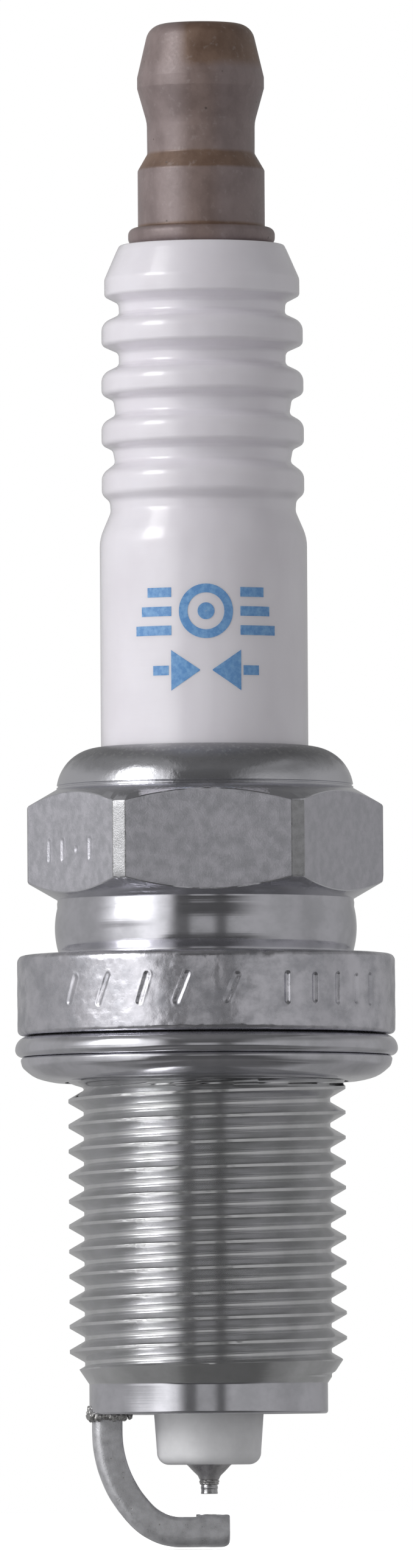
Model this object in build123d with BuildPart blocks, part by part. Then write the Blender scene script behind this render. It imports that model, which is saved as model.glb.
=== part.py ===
"""Resistor spark plug: M14 x 1.25 thread, 19 mm reach, 16 mm hexagon, solid terminal.

Frame: +Z runs along the plug's axis towards the terminal, and z = 0 is the sealing face under the
gasket. A hexagon flat faces -Y, and the ground electrode is welded on at -X. Millimetres.
"""

import math
import os

from build123d import *

os.makedirs("parts", exist_ok=True)

# ---------------------------------------------------------------- driving dimensions

# Thread
thread_pitch = 1.25
thread_major_r = 6.92
thread_depth = 0.6134 * thread_pitch
thread_crest = thread_pitch / 8
thread_half_angle = 30
thread_phase_z = -0.30  # height of the first full crest on the +X side
thread_top_z = -0.08
thread_end_z = -15.05
thread_lead_in = 1.5

# Shell, from the firing end upwards
pilot_r = 5.95
shell_end_z = -16.57
relief_r = 6.05
flange_z = 2.36
flange_height = 3.99
flange_r = 9.43
barrel_waist_r = 7.38
barrel_bulge_r = 7.53
hex_z = 9.12
hex_height = 5.53
hex_across_flats = 15.8
hex_corner_r = 8.87
hex_chamfer_angle = 30
collar_r = 7.42
collar_round = 2.0
collar_arc_z = 14.88
lip_end_r = 5.24
shell_bore_r = 6.22
trunk_bore_r = 4.66
ledge_r = 3.75
gas_bore_r = 4.2

# Insulator
insulator_top_z = 41.85
nose_end_z = -19.09
barrel_r = 5.18
shoulder_r = 6.15
trunk_r = 4.55
nose_end_r = 2.56
nose_base_r = 3.45
upper_bore_r = 2.05
lower_bore_r = 1.22
bore_step_z = -0.9
rib_crest_r = 5.02
rib_pitch = 2.46
first_groove_z = 38.64
# (bottom radius, half width at the bottom, half width at the mouth) of each groove, from the top
deep_groove = (4.16, 0.24, 0.80)
shallow_groove = (4.37, 0.14, 0.97)
last_groove_r = 4.62

# Terminal stud
stud_top_z = 53.0
terminal_r = 3.175
terminal_waist_r = 2.70
terminal_ring_r = 3.66
stem_r = 1.6
stem_end_r = 1.8
stem_end_z = 10.4

# Conductor stack between the terminal stud and the centre electrode
fill_r = upper_bore_r - 0.01
resistor_z = (2.8, 9.6)
upper_seal_top_z = 12.9

# Centre electrode
electrode_r = 1.17
electrode_head_r = 1.8
electrode_neck_z = -19.86
electrode_neck_r = 0.47
copper_core_r = 0.62
tip_r = 0.41
tip_end_z = -20.55
tip_root_z = -19.45

# Ground electrode
strap_thickness = 1.48
strap_width = 2.6
strap_leg_x = -5.07
strap_leg_end_z = -17.43
strap_upper_bend = 5.98
strap_lower_bend = 2.7
strap_bend_split = 45
strap_end_x = 1.02
strap_outer_corner = 0.38
strap_inner_corner = 0.2
chip_r = 0.53
chip_height = 0.3
chip_proud = 0.1
chip_x = -0.15

# Gasket, folded from one strip
gasket_sheet = 0.25
gasket_top_z = 2.33
gasket_bead_r = 9.56
gasket_captive_r = 6.57
gasket_seat_r = 7.08

# Packings above the insulator's shoulder
ring_wire_r = 0.46
ring_centre_r = (barrel_r + shell_bore_r) / 2
lower_ring_z = 12.15
upper_ring_z = 15.37
packing_gap = 0.005

AXIAL = Axis.Z


def finish(part, name):
    """Label one sub-part and write it as its own STEP file."""
    part.label = name
    export_step(part, f"parts/{name}.step")


# ---------------------------------------------------------------- metal shell

tan_flank = math.tan(math.radians(thread_half_angle))
thread_minor_r = thread_major_r - thread_depth
groove_half_top = (thread_pitch - thread_crest) / 2
cutter_clear = 0.08
cutter_r = thread_major_r + cutter_clear
cutter_half_root = groove_half_top - thread_depth * tan_flank
cutter_half_top = groove_half_top + cutter_clear * tan_flank
groove_turns = math.ceil((thread_top_z - thread_end_z) / thread_pitch) + 2
first_groove_turn_z = thread_phase_z - thread_pitch / 2 - (groove_turns - 2) * thread_pitch

with BuildPart() as groove_turn:
    with BuildLine() as groove_path:
        Helix(thread_pitch, thread_pitch, thread_minor_r, center=(0, 0, first_groove_turn_z))
    with BuildSketch(Plane.XZ.offset(0)):
        with BuildLine():
            Polyline(
                (thread_minor_r, first_groove_turn_z - cutter_half_root),
                (cutter_r, first_groove_turn_z - cutter_half_top),
                (cutter_r, first_groove_turn_z + cutter_half_top),
                (thread_minor_r, first_groove_turn_z + cutter_half_root),
                close=True,
            )
        make_face()
    sweep(path=groove_path.line, is_frenet=True)

flange_top_z = flange_z + flange_height
hex_top_z = hex_z + hex_height
hex_chamfer = (hex_corner_r - collar_r) * math.tan(math.radians(hex_chamfer_angle))
collar_arc_r = collar_r - collar_round
lip_top_z = collar_arc_z + collar_round
curl_z = 15.15
curl_r = shell_bore_r - lip_end_r
ledge_z = -4.5
ledge_drop = 0.53

with BuildPart() as metal_shell:
    # threaded end, cut before anything else is joined to it
    with BuildSketch(Plane.XZ):
        with BuildLine():
            Polyline(
                (0, thread_top_z),
                (relief_r, thread_top_z),
                (thread_major_r, thread_top_z - 0.2),
                (thread_major_r, thread_end_z + thread_lead_in),
                (pilot_r, thread_end_z),
                (0, thread_end_z),
                close=True,
            )
        make_face()
    revolve(axis=AXIAL)
    for turn in range(groove_turns):
        add(groove_turn.part.moved(Location((0, 0, turn * thread_pitch))), mode=Mode.SUBTRACT)

    # pilot, relief, flange, barrel and crimped collar
    with BuildSketch(Plane.XZ):
        with BuildLine():
            Polyline(
                (0, shell_end_z),
                (pilot_r - 0.15, shell_end_z),
                (pilot_r, shell_end_z + 0.15),
                (pilot_r, thread_end_z),
                (0, thread_end_z),
                close=True,
            )
        make_face()
        with BuildLine():
            Polyline(
                (0, thread_top_z),
                (relief_r, thread_top_z),
                (relief_r, flange_z),
                (flange_r - 0.28, flange_z),
                (flange_r, flange_z + 0.28),
                (flange_r, flange_top_z - 0.3),
                (flange_r - 0.3, flange_top_z),
                (barrel_waist_r, flange_top_z),
            )
            ThreePointArc(
                (barrel_waist_r, flange_top_z),
                (barrel_bulge_r, flange_top_z + 1.2),
                (collar_r - 0.02, hex_z),
            )
            Polyline(
                (collar_r - 0.02, hex_z),
                (collar_r, hex_z),
                (collar_r, collar_arc_z),
            )
            CenterArc((collar_arc_r, collar_arc_z), collar_round, 0, 90)
            Polyline(
                (collar_arc_r, lip_top_z),
                (0, lip_top_z),
                (0, thread_top_z),
            )
        make_face()
    revolve(axis=AXIAL)

    # wrench hexagon with turned corners and chamfered ends
    with BuildSketch(Plane.XY.offset(hex_z)):
        RegularPolygon(hex_across_flats / 2, 6, major_radius=False)
        Circle(collar_r - 0.5, mode=Mode.SUBTRACT)
    hexagon = extrude(amount=hex_height, mode=Mode.PRIVATE)
    with BuildSketch(Plane.XZ):
        with BuildLine():
            Polyline(
                (0, hex_z),
                (collar_r, hex_z),
                (hex_corner_r, hex_z + hex_chamfer),
                (hex_corner_r, hex_top_z - hex_chamfer),
                (collar_r, hex_top_z),
                (0, hex_top_z),
                close=True,
            )
        make_face()
    turned = revolve(axis=AXIAL, mode=Mode.PRIVATE)
    add(hexagon & turned)

    # stepped bore with the insulator's seat
    with BuildSketch(Plane.XZ):
        with BuildLine():
            Polyline(
                (0, shell_end_z - 1),
                (gas_bore_r + 0.2, shell_end_z - 1),
                (gas_bore_r + 0.2, shell_end_z),
                (gas_bore_r, shell_end_z + 0.2),
                (gas_bore_r, ledge_z - 1.9),
                (ledge_r, ledge_z - 1.5),
                (ledge_r, ledge_z - ledge_drop),
                (trunk_bore_r, ledge_z),
                (trunk_bore_r, 2.9),
                (shell_bore_r, 4.3),
                (shell_bore_r, curl_z),
            )
            CenterArc((lip_end_r, curl_z), curl_r, 0, 90)
            Polyline(
                (lip_end_r, curl_z + curl_r),
                (lip_end_r, lip_top_z + 1),
                (0, lip_top_z + 1),
                (0, shell_end_z - 1),
            )
        make_face()
    revolve(axis=AXIAL, mode=Mode.SUBTRACT)

    # stamped strokes on the flange: slanted ones left of centre, upright ones right of it
    stroke_depth = 0.12
    stroke_z = flange_z + flange_height / 2 + 0.1
    for slant, first_angle, step in ((20, -136, 12.5), (0, -68, 9.0)):
        for stroke in range(5):
            angle = math.radians(first_angle + stroke * step)
            outward = Vector(math.cos(angle), math.sin(angle), 0)
            place = Plane(
                origin=outward * (flange_r - stroke_depth) + Vector(0, 0, stroke_z),
                x_dir=Vector(0, 0, 1),
                z_dir=outward,
            )
            with BuildSketch(place):
                SlotOverall(1.75, 0.34, rotation=slant)
            extrude(amount=1, mode=Mode.SUBTRACT)
finish(metal_shell.part, "metal_shell")

# ---------------------------------------------------------------- gasket

bead_round = 0.42
gasket_bead_z = gasket_top_z - gasket_sheet / 2 - bead_round
bead_centre_r = gasket_bead_r - gasket_sheet / 2 - bead_round
middle_layer_z = gasket_bead_z - bead_round
inner_fold = 0.135
lower_layer_z = middle_layer_z - 2 * inner_fold
inner_fold_r = gasket_captive_r + gasket_sheet / 2 + inner_fold
rim_round = 0.13
rim_r = 9.0
rim_sweep = 128
bowl_r = (lower_layer_z - rim_round - rim_round * math.sin(math.radians(rim_sweep - 90)) - gasket_sheet / 2) / (
    1 - math.cos(math.radians(180 - rim_sweep))
)

with BuildPart() as gasket:
    with BuildSketch(Plane.XZ):
        with BuildLine() as strip:
            Line((gasket_captive_r, gasket_bead_z + bead_round), (bead_centre_r, gasket_bead_z + bead_round))
            CenterArc((bead_centre_r, gasket_bead_z), bead_round, 90, -180)
            Line((bead_centre_r, middle_layer_z), (inner_fold_r, middle_layer_z))
            CenterArc((inner_fold_r, middle_layer_z - inner_fold), inner_fold, 90, 180)
            Line((inner_fold_r, lower_layer_z), (rim_r, lower_layer_z))
            rim = CenterArc((rim_r, lower_layer_z - rim_round), rim_round, 90, -rim_sweep)
            bowl = JernArc(rim @ 1, rim % 1, bowl_r, -(180 - rim_sweep))
            Line(bowl @ 1, (gasket_seat_r, gasket_sheet / 2))
        trace(line_width=gasket_sheet)
    revolve(axis=AXIAL)
finish(gasket.part, "gasket")

# ---------------------------------------------------------------- insulator

shoulder_z = (3.2, 4.5, 11.0, 12.0)
seat_z = (-4.65, -4.10)
seat_r = 3.60
nose_corner = 0.62
top_collar_r = 4.86
last_groove_z = first_groove_z - 4 * rib_pitch

# rib outline from the top collar down to the smooth barrel, with the radius of each corner
rib_points = [
    (4.10, insulator_top_z),
    (4.24, insulator_top_z - 0.25),
    (top_collar_r, 40.15),
]
rib_rounds = [0.12, 0.5]
crest_rs = (top_collar_r, rib_crest_r, rib_crest_r, rib_crest_r, rib_crest_r)
for index, (bottom_r, bottom_half, mouth_half) in enumerate(
    (deep_groove, deep_groove, shallow_groove, shallow_groove)
):
    centre_z = first_groove_z - index * rib_pitch
    rib_points += [
        (crest_rs[index], centre_z + mouth_half),
        (bottom_r, centre_z + bottom_half),
        (bottom_r, centre_z - bottom_half),
        (crest_rs[index + 1], centre_z - mouth_half),
    ]
    rib_rounds += [0.4, 0.25, 0.25, 0.4]
rib_points += [
    (rib_crest_r, last_groove_z + 0.85),
    (last_groove_r, last_groove_z + 0.18),
    (last_groove_r, last_groove_z - 0.15),
    (barrel_r, last_groove_z - 1.7),
    (barrel_r, shoulder_z[3]),
]
rib_rounds += [0.3, 0.3, 0.3, 2.0]

with BuildPart() as insulator:
    with BuildSketch(Plane.XZ):
        with BuildLine():
            FilletPolyline(*rib_points, radius=rib_rounds)
            Polyline(
                (barrel_r, shoulder_z[3]),
                (shoulder_r, shoulder_z[2]),
                (shoulder_r, shoulder_z[1]),
                (trunk_r, shoulder_z[0]),
                (trunk_r, seat_z[1]),
                (seat_r, seat_z[0]),
                (seat_r, -5.8),
                (nose_base_r, -6.6),
                (nose_end_r + 0.03, nose_end_z + nose_corner),
            )
            TangentArc(
                (nose_end_r + 0.03, nose_end_z + nose_corner),
                (nose_end_r + 0.03 - nose_corner, nose_end_z),
                tangent=(-0.07, -1),
            )
            Polyline(
                (nose_end_r + 0.03 - nose_corner, nose_end_z),
                (lower_bore_r, nose_end_z),
                (lower_bore_r, bore_step_z - (upper_bore_r - lower_bore_r)),
                (upper_bore_r, bore_step_z),
                (upper_bore_r, insulator_top_z - 0.2),
                (upper_bore_r + 0.2, insulator_top_z),
                (4.10, insulator_top_z),
            )
        make_face()
    revolve(axis=AXIAL)
finish(insulator.part, "insulator")

# ---------------------------------------------------------------- terminal stud

ring_height = 0.93
stud_base_z = insulator_top_z + 0.01
ring_top_z = stud_base_z + ring_height
knurl_count = 5
knurl_pitch = 0.5
knurl_depth = 0.18

with BuildPart() as terminal_stud:
    with BuildSketch(Plane.XZ):
        with BuildLine():
            FilletPolyline(
                (0, stud_top_z),
                (2.5, stud_top_z),
                (terminal_r, 50.35),
                (terminal_r, 49.75),
                (terminal_waist_r, 47.95),
                (terminal_waist_r, 46.5),
                (terminal_r, 45.55),
                (terminal_r, ring_top_z),
                radius=[0.95, 0.3, 0.15, 0.6, 0.2, 0.2],
            )
            Line((terminal_r, ring_top_z), (terminal_ring_r - 0.32, ring_top_z))
            ThreePointArc(
                (terminal_ring_r - 0.32, ring_top_z),
                (terminal_ring_r, stud_base_z + 0.5),
                (terminal_ring_r - 0.15, stud_base_z),
            )
            Polyline(
                (terminal_ring_r - 0.15, stud_base_z),
                (stem_r + 0.2, stud_base_z),
                (stem_r, stud_base_z - 0.2),
                (stem_r, stem_end_z + 3.4),
                (stem_end_r, stem_end_z + 3.2),
                (stem_end_r, stem_end_z + 0.3),
                (stem_end_r - 0.3, stem_end_z),
                (0, stem_end_z),
                (0, stud_top_z),
            )
        make_face()
    revolve(axis=AXIAL)
    # ring grooves that key the stem's end into the glass
    for groove in range(knurl_count):
        groove_z = stem_end_z + 0.6 + groove * knurl_pitch
        with BuildSketch(Plane.XZ):
            with BuildLine():
                Polyline(
                    (stem_end_r - knurl_depth, groove_z),
                    (stem_end_r + 0.1, groove_z - 0.16),
                    (stem_end_r + 0.1, groove_z + 0.16),
                    close=True,
                )
            make_face()
        revolve(axis=AXIAL, mode=Mode.SUBTRACT)
finish(terminal_stud.part, "terminal_stud")

# ---------------------------------------------------------------- centre electrode, core and tip

head_z = (-1.11, -0.25)
boss_r = 1.0
boss_top_z = 0.6
core_end_z = -17.6
weld_top_z = electrode_neck_z + 0.02

with BuildPart() as centre_electrode:
    with BuildSketch(Plane.XZ):
        with BuildLine():
            Polyline(
                (copper_core_r, boss_top_z),
                (boss_r, boss_top_z),
                (boss_r, head_z[1]),
                (electrode_head_r, head_z[1]),
                (electrode_head_r, head_z[0]),
                (electrode_r, head_z[0] - (electrode_head_r - electrode_r)),
                (electrode_r, nose_end_z + 0.1),
                (electrode_r - 0.07, nose_end_z - 0.03),
            )
            ThreePointArc(
                (electrode_r - 0.07, nose_end_z - 0.03),
                (0.79, -19.41),
                (0.56, -19.68),
            )
            Polyline(
                (0.56, -19.68),
                (electrode_neck_r, electrode_neck_z),
                (tip_r, electrode_neck_z),
                (tip_r, tip_root_z),
                (0, tip_root_z),
                (0, core_end_z - 0.5),
                (copper_core_r, core_end_z),
                (copper_core_r, boss_top_z),
            )
        make_face()
    revolve(axis=AXIAL)
finish(centre_electrode.part, "centre_electrode")

with BuildPart() as copper_core:
    with BuildSketch(Plane.XZ):
        with BuildLine():
            Polyline(
                (0, boss_top_z),
                (copper_core_r, boss_top_z),
                (copper_core_r, core_end_z),
                (0, core_end_z - 0.5),
                close=True,
            )
        make_face()
    revolve(axis=AXIAL)
finish(copper_core.part, "copper_core")

with BuildPart() as iridium_tip:
    with BuildSketch(Plane.XY.offset(tip_end_z)):
        Circle(tip_r)
    extrude(amount=tip_root_z - tip_end_z)
    chamfer(iridium_tip.faces().sort_by(AXIAL)[0].edges(), 0.03)
finish(iridium_tip.part, "iridium_tip")

with BuildPart() as tip_weld:
    with BuildSketch(Plane.XZ):
        with BuildLine():
            Line((tip_r, electrode_neck_z), (electrode_neck_r, electrode_neck_z))
            ThreePointArc(
                (electrode_neck_r, electrode_neck_z),
                (electrode_neck_r + 0.02, electrode_neck_z - 0.09),
                (tip_r, electrode_neck_z - 0.22),
            )
            Line((tip_r, electrode_neck_z - 0.22), (tip_r, electrode_neck_z))
        make_face()
    revolve(axis=AXIAL)
finish(tip_weld.part, "tip_weld")

# ---------------------------------------------------------------- glass seals and resistor

with BuildPart() as lower_glass_seal:
    with BuildSketch(Plane.XZ):
        with BuildLine():
            Polyline(
                (0, resistor_z[0]),
                (fill_r, resistor_z[0]),
                (fill_r, bore_step_z + 0.02),
                (electrode_head_r, bore_step_z + 0.02),
                (electrode_head_r, head_z[1]),
                (boss_r, head_z[1]),
                (boss_r, boss_top_z),
                (0, boss_top_z),
                close=True,
            )
        make_face()
    revolve(axis=AXIAL)
finish(lower_glass_seal.part, "lower_glass_seal")

with BuildPart() as resistor:
    with BuildSketch(Plane.XY.offset(resistor_z[0])):
        Circle(fill_r)
    extrude(amount=resistor_z[1] - resistor_z[0])
finish(resistor.part, "resistor")

with BuildPart() as upper_glass_seal:
    with BuildSketch(Plane.XY.offset(resistor_z[1])):
        Circle(fill_r)
    extrude(amount=upper_seal_top_z - resistor_z[1])
    add(terminal_stud.part, mode=Mode.SUBTRACT)
finish(upper_glass_seal.part, "upper_glass_seal")

# ---------------------------------------------------------------- packings and talc

for ring_name, ring_z in (("lower_packing_ring", lower_ring_z), ("upper_packing_ring", upper_ring_z)):
    with BuildPart() as packing_ring:
        with BuildSketch(Plane.XZ):
            with Locations((ring_centre_r, ring_z)):
                Circle(ring_wire_r)
        revolve(axis=AXIAL)
    finish(packing_ring.part, ring_name)

talc_top_z = upper_ring_z - 0.2

with BuildPart() as talc_filling:
    with BuildSketch(Plane.XZ):
        with Locations((ring_centre_r, (lower_ring_z + talc_top_z) / 2)):
            Rectangle(shell_bore_r - barrel_r - 2 * packing_gap, talc_top_z - lower_ring_z)
        with Locations((ring_centre_r, lower_ring_z), (ring_centre_r, upper_ring_z)):
            Circle(ring_wire_r + packing_gap, mode=Mode.SUBTRACT)
    revolve(axis=AXIAL)
finish(talc_filling.part, "talc_filling")

seat_slope = ledge_drop / (trunk_bore_r - ledge_r)
packing_low = ledge_z + 0.02
packing_thickness = 0.43

with BuildPart() as seat_packing:
    with BuildSketch(Plane.XZ):
        with BuildLine():
            Polyline(
                (ledge_r + 0.05, packing_low - (trunk_bore_r - ledge_r - 0.05) * seat_slope),
                (trunk_r - 0.02, packing_low - (trunk_bore_r - trunk_r + 0.02) * seat_slope),
                (trunk_r - 0.02, packing_low - (trunk_bore_r - trunk_r + 0.02) * seat_slope + packing_thickness),
                (ledge_r + 0.05, packing_low - (trunk_bore_r - ledge_r - 0.05) * seat_slope + packing_thickness),
                close=True,
            )
        make_face()
    revolve(axis=AXIAL)
finish(seat_packing.part, "seat_packing")

# ---------------------------------------------------------------- ground electrode, chip and weld

weld_margin = 0.26
weld_height = 0.36
weld_limit_r = 6.12

with BuildPart() as ground_electrode:
    with BuildLine(Plane.XZ) as strap_path:
        leg = Line((strap_leg_x, shell_end_z), (strap_leg_x, strap_leg_end_z))
        upper_bend = JernArc(leg @ 1, leg % 1, strap_upper_bend, strap_bend_split)
        lower_bend = JernArc(upper_bend @ 1, upper_bend % 1, strap_lower_bend, 90 - strap_bend_split)
        arm_z = (lower_bend @ 1).Z
        Line(lower_bend @ 1, (strap_end_x, arm_z))
    with BuildSketch(Plane.XY.offset(shell_end_z)):
        with Locations((strap_leg_x, 0)):
            Rectangle(strap_thickness, strap_width)
        corners = vertices().sort_by(Axis.X)
        fillet(corners[:2], strap_outer_corner)
        fillet(vertices().sort_by(Axis.X)[-2:], strap_inner_corner)
    sweep(path=strap_path.line)
    arm_face_z = arm_z + strap_thickness / 2
    with BuildSketch(Plane.XY.offset(arm_face_z)):
        with Locations((chip_x, 0)):
            Circle(chip_r)
    extrude(amount=chip_proud - chip_height, mode=Mode.SUBTRACT)
finish(ground_electrode.part, "ground_electrode")

with BuildPart() as ground_chip:
    with BuildSketch(Plane.XY.offset(arm_face_z + chip_proud)):
        with Locations((chip_x, 0)):
            Circle(chip_r)
    extrude(amount=-chip_height)
finish(ground_chip.part, "ground_chip")

with BuildPart() as ground_weld:
    with BuildSketch(Plane.XY.offset(shell_end_z)):
        with Locations((strap_leg_x, 0)):
            RectangleRounded(
                strap_thickness + 2 * weld_margin,
                strap_width + 2 * weld_margin,
                strap_outer_corner + weld_margin - 0.1,
            )
    extrude(amount=-weld_height, taper=25)
    with BuildSketch(Plane.XY.offset(shell_end_z)):
        Circle(weld_limit_r)
    extrude(amount=-weld_height, mode=Mode.INTERSECT)
    with BuildSketch(Plane.XY.offset(shell_end_z)):
        with Locations((strap_leg_x, 0)):
            Rectangle(strap_thickness, strap_width)
        corners = vertices().sort_by(Axis.X)
        fillet(corners[:2], strap_outer_corner)
        fillet(vertices().sort_by(Axis.X)[-2:], strap_inner_corner)
    extrude(amount=-weld_height, mode=Mode.SUBTRACT)
finish(ground_weld.part, "ground_weld")
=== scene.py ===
"""The spark plug's looks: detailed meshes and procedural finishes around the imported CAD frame.

Shapes are written in millimetres in the part's own frame (+Z to the terminal, z = 0 at the gasket's
sealing face) and turned into metres when a mesh is made.
"""

import math

import bmesh
import bpy
import numpy as np
from mathutils import Matrix, Vector, noise


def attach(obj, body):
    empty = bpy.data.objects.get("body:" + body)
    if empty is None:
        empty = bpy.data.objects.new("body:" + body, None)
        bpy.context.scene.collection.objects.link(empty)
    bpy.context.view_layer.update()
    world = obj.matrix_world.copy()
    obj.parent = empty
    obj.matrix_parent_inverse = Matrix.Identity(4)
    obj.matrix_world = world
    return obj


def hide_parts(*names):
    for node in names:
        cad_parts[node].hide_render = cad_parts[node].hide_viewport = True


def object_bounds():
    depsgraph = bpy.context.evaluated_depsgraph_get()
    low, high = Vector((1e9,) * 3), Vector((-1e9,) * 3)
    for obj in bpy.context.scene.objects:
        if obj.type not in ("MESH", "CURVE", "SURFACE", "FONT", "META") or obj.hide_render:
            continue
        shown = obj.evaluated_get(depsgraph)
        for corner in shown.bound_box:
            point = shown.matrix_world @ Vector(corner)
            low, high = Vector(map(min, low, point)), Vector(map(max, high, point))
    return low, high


MM = 0.001
FULL = 2 * math.pi
WELD = 1.5e-6  # points of one piece closer than this, in metres, become one
NEAR_AXIS = 0.001  # turned pieces close on a pinhole this far from the axis

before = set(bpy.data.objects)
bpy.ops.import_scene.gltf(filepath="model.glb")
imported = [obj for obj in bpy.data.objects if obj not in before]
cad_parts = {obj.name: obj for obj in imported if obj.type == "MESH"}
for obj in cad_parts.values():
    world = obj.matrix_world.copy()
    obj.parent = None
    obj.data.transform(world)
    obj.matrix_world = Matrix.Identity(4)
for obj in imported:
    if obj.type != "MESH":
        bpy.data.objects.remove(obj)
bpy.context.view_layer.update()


# ------------------------------------------------ outlines and meshes


def rounded(corners, step=9.0):
    """Outline through (r, z, radius) corners, each rounded by its radius in arcs of step degrees."""
    out = []
    last = len(corners) - 1
    for i, (r, z, radius) in enumerate(corners):
        here = Vector((r, z))
        if radius == 0 or i in (0, last):
            out.append((r, z))
            continue
        back = Vector(corners[i - 1][:2]) - here
        ahead = Vector(corners[i + 1][:2]) - here
        room = 0.98 * min(
            back.length * radius / (radius + corners[i - 1][2]),
            ahead.length * radius / (radius + corners[i + 1][2]),
        )
        back.normalize()
        ahead.normalize()
        opening = back.angle(ahead)
        if opening > math.pi - 0.01:
            out.append((r, z))
            continue
        cut = min(radius / math.tan(opening / 2), room)
        radius = cut * math.tan(opening / 2)
        centre = here + (back + ahead).normalized() * (radius / math.sin(opening / 2))
        arm = here + back * cut - centre
        turn = math.pi - opening
        if back.y * ahead.x - back.x * ahead.y < 0:
            turn = -turn
        count = max(2, math.ceil(abs(math.degrees(turn)) / step))
        for k in range(count + 1):
            a = turn * k / count
            r = centre.x + arm.x * math.cos(a) - arm.y * math.sin(a)
            z = centre.y + arm.x * math.sin(a) + arm.y * math.cos(a)
            out.append((r, z))
    return out


def spaced(outline, gap):
    """The same outline with extra points, so that no run is longer than gap."""
    out = [outline[0]]
    for (r0, z0), (r1, z1) in zip(outline, outline[1:]):
        count = max(1, math.ceil(math.hypot(r1 - r0, z1 - z0) / gap))
        out += [(r0 + (r1 - r0) * k / count, z0 + (z1 - z0) * k / count) for k in range(1, count + 1)]
    return out


def placed(name, data):
    """A new object in the scene."""
    made = bpy.data.objects.new(name, data)
    bpy.context.scene.collection.objects.link(made)
    return made


def solid(corners, step=9.0):
    """Outline of a solid turned piece: it ends on a pinhole round the axis above and below."""
    return [(NEAR_AXIS, corners[0][1])] + rounded(corners, step) + [(NEAR_AXIS, corners[-1][1])]


class Shape:
    """Vertices and faces gathered from several surfaces, welded when the piece is made."""

    def __init__(self):
        self.points = []
        self.faces = []
        self.kinds = []

    def add(self, points, faces, kind=0):
        """kind is the place of the faces' finish in the list given to make."""
        base = len(self.points)
        self.points += [tuple(p) for p in points]
        self.faces += [[base + i for i in face] for face in faces]
        self.kinds += [kind] * len(faces)

    def rings(self, rows, kind=0, closed=False):
        """Skin between rings. A row is (angle indices, points); rows may be finer or coarser."""
        starts = []
        points = []
        for _, row in rows:
            starts.append(len(points))
            points += row
        pairs = list(zip(range(len(rows)), range(1, len(rows))))
        if closed:
            pairs.append((len(rows) - 1, 0))
        faces = []
        for a, b in pairs:
            ids_a, ids_b = rows[a][0], rows[b][0]
            at_a = {v: k for k, v in enumerate(ids_a)}
            at_b = {v: k for k, v in enumerate(ids_b)}
            shared = [v for v in ids_a if v in at_b]
            count_a, count_b = len(ids_a), len(ids_b)
            for n, v in enumerate(shared):
                w = shared[(n + 1) % len(shared)]
                i0, i1 = at_a[v], at_a[w]
                j0, j1 = at_b[v], at_b[w]
                if i1 <= i0:
                    i1 += count_a
                if j1 <= j0:
                    j1 += count_b
                top = [starts[a] + i % count_a for i in range(i0, i1 + 1)]
                low = [starts[b] + j % count_b for j in range(j1, j0 - 1, -1)]
                faces.append(top + low)
        self.add(points, faces, kind)

    def lathe(self, outline, count=192, kind=0, closed=False, wobble=None):
        """Outline of (r, z) turned about Z. wobble(angle, r, z) gives the radius and height there."""
        angles = [FULL * k / count for k in range(count)]
        rows = []
        for r, z in outline:
            row = []
            for a in angles:
                rr, zz = wobble(a, r, z) if wobble else (r, z)
                row.append((rr * math.cos(a), rr * math.sin(a), zz))
            rows.append((list(range(count)), row))
        self.rings(rows, kind, closed)

    def cap(self, row):
        """Closes a ring with a fan of triangles round its middle."""
        middle = tuple(sum(p[k] for p in row) / len(row) for k in range(3))
        self.add([middle] + row, [[0, k, k % len(row) + 1] for k in range(1, len(row) + 1)])

    def make(self, name, finishes, body, nodes, sharp=32.0):
        """One Blender object that rides on body and stands for the CAD nodes.

        Edges that turn by more than sharp degrees stay crisp."""
        mesh = bpy.data.meshes.new(name)
        mesh.from_pydata((np.array(self.points) * MM).tolist(), [], self.faces)
        mesh.polygons.foreach_set("material_index", self.kinds)
        work = bmesh.new()
        work.from_mesh(mesh)
        bmesh.ops.remove_doubles(work, verts=work.verts, dist=WELD)
        bmesh.ops.dissolve_degenerate(work, edges=work.edges, dist=1e-7)
        bmesh.ops.recalc_face_normals(work, faces=work.faces)
        work.to_mesh(mesh)
        work.free()
        mesh.polygons.foreach_set("use_smooth", [True] * len(mesh.polygons))
        mesh.set_sharp_from_angle(angle=math.radians(sharp))
        for finish in finishes:
            mesh.materials.append(finish)
        piece = placed(name, mesh)
        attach(piece, body)
        if nodes:
            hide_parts(*nodes)
        return piece


def rough(x, y, z, size, seed=0.0):
    """Smooth noise from -1 to 1 with features about size mm across."""
    return noise.noise(Vector((x / size + seed, y / size - seed, z / size + 2 * seed)))


# ------------------------------------------------ finishes


class Nodes:
    """Short ways to add nodes to a tree."""

    def __init__(self, tree):
        self.tree = tree

    def node(self, kind, **values):
        made = self.tree.nodes.new(kind)
        for key, value in values.items():
            setattr(made, key, value)
        return made

    def link(self, a, b):
        self.tree.links.new(a, b)

    def math(self, operation, *values):
        """A Math node fed with outputs or plain numbers."""
        made = self.node("ShaderNodeMath", operation=operation)
        for socket, value in zip(made.inputs, values):
            if isinstance(value, (int, float)):
                socket.default_value = value
            else:
                self.link(value, socket)
        return made.outputs[0]

    def times(self, a, b):
        return self.math("MULTIPLY", a, b)

    def sum(self, a, b, weight=1.0):
        """a plus weight times b."""
        return self.math("MULTIPLY_ADD", b, weight, a)

    def span(self, value, low, high, to_low, to_high):
        """value from low..high spread smoothly over to_low..to_high, and held beyond."""
        made = self.node("ShaderNodeMapRange", interpolation_type="SMOOTHSTEP")
        for key, number in (("From Min", low), ("From Max", high), ("To Min", to_low), ("To Max", to_high)):
            made.inputs[key].default_value = number
        self.link(value, made.inputs["Value"])
        return made.outputs["Result"]


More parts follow.
